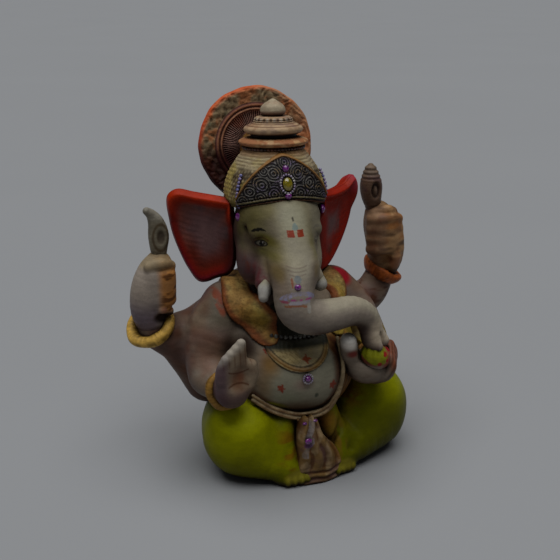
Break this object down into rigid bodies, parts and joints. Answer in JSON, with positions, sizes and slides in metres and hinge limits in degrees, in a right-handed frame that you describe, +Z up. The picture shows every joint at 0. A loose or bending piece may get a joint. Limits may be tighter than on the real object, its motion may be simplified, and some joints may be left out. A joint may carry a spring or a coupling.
{
  "type": "ganesha idol",
  "caption": "Seated elephant-headed temple idol in painted plaster, holding a sweet, with a tiered crown and a halo.",
  "frame": {"origin": "middle of the flat underside, on the surface that the idol stands on", "axes": "+Z up, -Y towards the worshipper (the way the idol faces), +X towards the idol's left"},
  "size_m": [0.1836, 0.1096, 0.2202],
  "materials": {
    "painted_skin": "matte",
    "yellow_dhoti": "matte",
    "brocade_shawl": "matte",
    "red_ears": "matte",
    "crown_paint": "matte",
    "crown_plate": "matte",
    "halo_paint": "matte",
    "gold_paint": "satin",
    "brown_wash": "matte",
    "tusk_white": "satin",
    "sweet_paint": "matte",
    "violet_stone": "gloss",
    "blue_beads": "gloss",
    "silver_beads": "satin",
    "core_wood": "matte",
    "pin_wire": "satin"
  },
  "bodies": {
    "root": {"seat_block": "yellow_dhoti", "base_plug": "core_wood", "core_rod": "core_wood", "torso": "painted_skin", "right_leg": "yellow_dhoti", "left_leg": "yellow_dhoti", "right_foot": "yellow_dhoti", "left_foot": "yellow_dhoti", "dhoti_pleats": "brown_wash", "waist_sash": "brown_wash", "pectoral": "gold_paint", "bead_necklace": "silver_beads", "navel_gem": "violet_stone", "right_shawl": "brocade_shawl", "left_shawl": "brocade_shawl", "right_front_arm": "painted_skin", "right_front_bangle": "gold_paint", "right_front_hand": "painted_skin", "left_front_arm": "painted_skin", "left_front_bangle": "gold_paint", "left_front_hand": "painted_skin", "sweet": "sweet_paint", "right_rear_arm": "painted_skin", "right_rear_bangle": "gold_paint", "right_rear_hand": "painted_skin", "right_goad": "painted_skin", "left_rear_arm": "painted_skin", "left_rear_bangle": "gold_paint", "left_rear_hand": "brown_wash", "left_lotus_bud": "brown_wash", "head": "painted_skin", "trunk": "painted_skin", "right_tusk": "tusk_white", "left_tusk": "tusk_white", "right_ear": "red_ears", "left_ear": "red_ears", "crown_dome": "crown_paint", "crown_front_plate": "crown_plate", "crown_stones": "violet_stone", "crown_ring_beads": "brown_wash", "crown_bead_strings": "blue_beads", "crown_tier": "crown_paint", "crown_finial": "crown_paint", "halo": "halo_paint", "halo_bracket": "crown_paint", "halo_pins": "pin_wire", "arm_pins": "pin_wire", "ear_pins": "pin_wire", "tusk_pins": "pin_wire", "finial_pin": "pin_wire", "trunk_stone": "violet_stone", "dhoti_stones": "violet_stone"}
  },
  "joints": []
}
